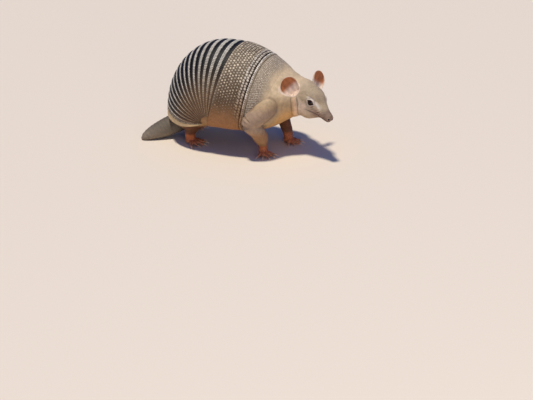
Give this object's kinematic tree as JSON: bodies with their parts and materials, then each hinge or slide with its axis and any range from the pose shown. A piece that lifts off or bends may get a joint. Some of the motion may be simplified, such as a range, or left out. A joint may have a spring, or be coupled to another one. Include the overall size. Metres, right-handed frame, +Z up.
{
  "type": "armadillo",
  "caption": "Life-size still model of a standing armadillo, its domed back in bands and shields, head turned to its right, tail laid to the floor.",
  "frame": {"origin": "on the floor under the middle of the whole animal's box", "axes": "+X towards the head, +Y to the animal's left, +Z up"},
  "size_m": [0.4386, 0.2188, 0.2271],
  "materials": {
    "shell_band": "bony scutes, dark brown with pale beaded rear edges, satin",
    "shell_shield": "bony plates with round pale scutes, satin",
    "head_cap": "flat polygonal scutes, satin",
    "skin": "tough wrinkled skin, matt",
    "ear": "thin bare skin, matt",
    "leg": "skin with small scales, matt",
    "foot": "small scales, matt",
    "claw": "horn, satin",
    "tail": "rings of small scutes, satin",
    "eye": "wet, glossy"
  },
  "bodies": {
    "root": {"band_01": "shell_band", "band_02": "shell_band", "band_03": "shell_band", "band_04": "shell_band", "band_05": "shell_band", "band_06": "shell_band", "band_07": "shell_band", "band_08": "shell_band", "band_09": "shell_band", "band_10": "shell_band", "band_11": "shell_band", "band_12": "shell_band", "band_13": "shell_band", "band_14": "shell_band", "band_15": "shell_band", "band_16": "shell_band", "middle_shield": "shell_shield", "collar": "shell_shield", "shoulder_shield": "shell_shield", "head": "skin", "head_shield": "head_cap", "ear_right": "ear", "eye_right": "eye", "ear_left": "ear", "eye_left": "eye", "trunk": "skin", "neck": "skin", "tail": "tail", "foreleg_right": "leg", "forefoot_right": "foot", "forefoot_right_claw_1": "claw", "forefoot_right_claw_2": "claw", "forefoot_right_claw_3": "claw", "forefoot_right_claw_4": "claw", "forefoot_right_claw_5": "claw", "foreleg_left": "leg", "forefoot_left": "foot", "forefoot_left_claw_1": "claw", "forefoot_left_claw_2": "claw", "forefoot_left_claw_3": "claw", "forefoot_left_claw_4": "claw", "forefoot_left_claw_5": "claw", "hindleg_right": "leg", "hindfoot_right": "foot", "hindfoot_right_claw_1": "claw", "hindfoot_right_claw_2": "claw", "hindfoot_right_claw_3": "claw", "hindfoot_right_claw_4": "claw", "hindfoot_right_claw_5": "claw", "hindleg_left": "leg", "hindfoot_left": "foot", "hindfoot_left_claw_1": "claw", "hindfoot_left_claw_2": "claw", "hindfoot_left_claw_3": "claw", "hindfoot_left_claw_4": "claw", "hindfoot_left_claw_5": "claw"}
  },
  "joints": []
}
